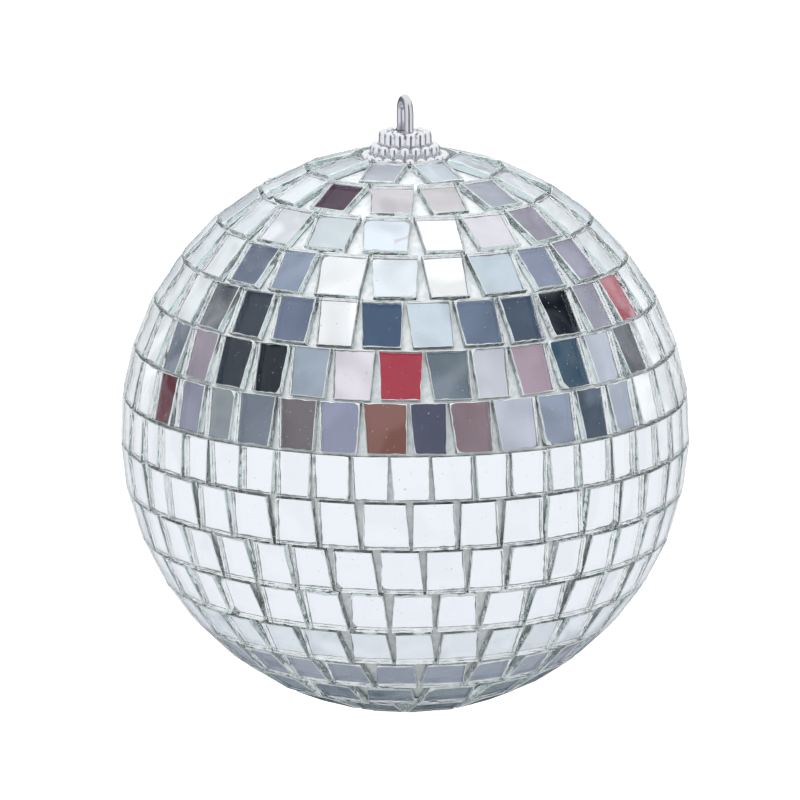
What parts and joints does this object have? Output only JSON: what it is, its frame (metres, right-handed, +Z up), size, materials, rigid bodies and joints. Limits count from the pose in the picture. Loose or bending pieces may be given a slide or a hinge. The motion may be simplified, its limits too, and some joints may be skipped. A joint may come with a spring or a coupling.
{
  "type": "mirror ball",
  "caption": "Small hanging mirror ball: hollow core covered in rows of square mirror tiles, with a beaded crown cap and a wire bail.",
  "frame": {"origin": "centre of the bail's arch, the point that the ball hangs from", "axes": "+Z up along the axis of the ball and its neck; X through the bail's eye, the way a hook goes; the bail lies in the YZ plane"},
  "size_m": [0.06, 0.0598, 0.0654],
  "materials": {
    "mirror_glass": "polished",
    "cap_plating": "polished",
    "spring_wire": "polished",
    "core_plastic": "satin",
    "adhesive": "gloss"
  },
  "bodies": {
    "bail": {"bail": "spring_wire"},
    "ball": {"mirror_row_01": "mirror_glass", "mirror_row_02": "mirror_glass", "mirror_row_03": "mirror_glass", "mirror_row_04": "mirror_glass", "mirror_row_05": "mirror_glass", "mirror_row_06": "mirror_glass", "mirror_row_07": "mirror_glass", "mirror_row_08": "mirror_glass", "mirror_row_09": "mirror_glass", "mirror_row_10": "mirror_glass", "mirror_row_11": "mirror_glass", "mirror_row_12": "mirror_glass", "mirror_row_13": "mirror_glass", "mirror_row_14": "mirror_glass", "mirror_row_15": "mirror_glass", "mirror_row_16": "mirror_glass", "pole_tile": "mirror_glass", "core_upper_shell": "core_plastic", "core_lower_shell": "core_plastic", "adhesive_upper": "adhesive", "adhesive_lower": "adhesive"},
    "cap": {"crown_cap": "cap_plating"}
  },
  "joints": [
    {"name": "ball_turn", "type": "hinge", "parent": "bail", "child": "ball", "pos_m": [0, 0, -0.0336], "axis": [0, 0, 1], "continuous": true},
    {"name": "cap_lift", "type": "slide", "parent": "bail", "child": "cap", "axis": [0, 0, 1], "range_m": [0, 0.002]}
  ]
}
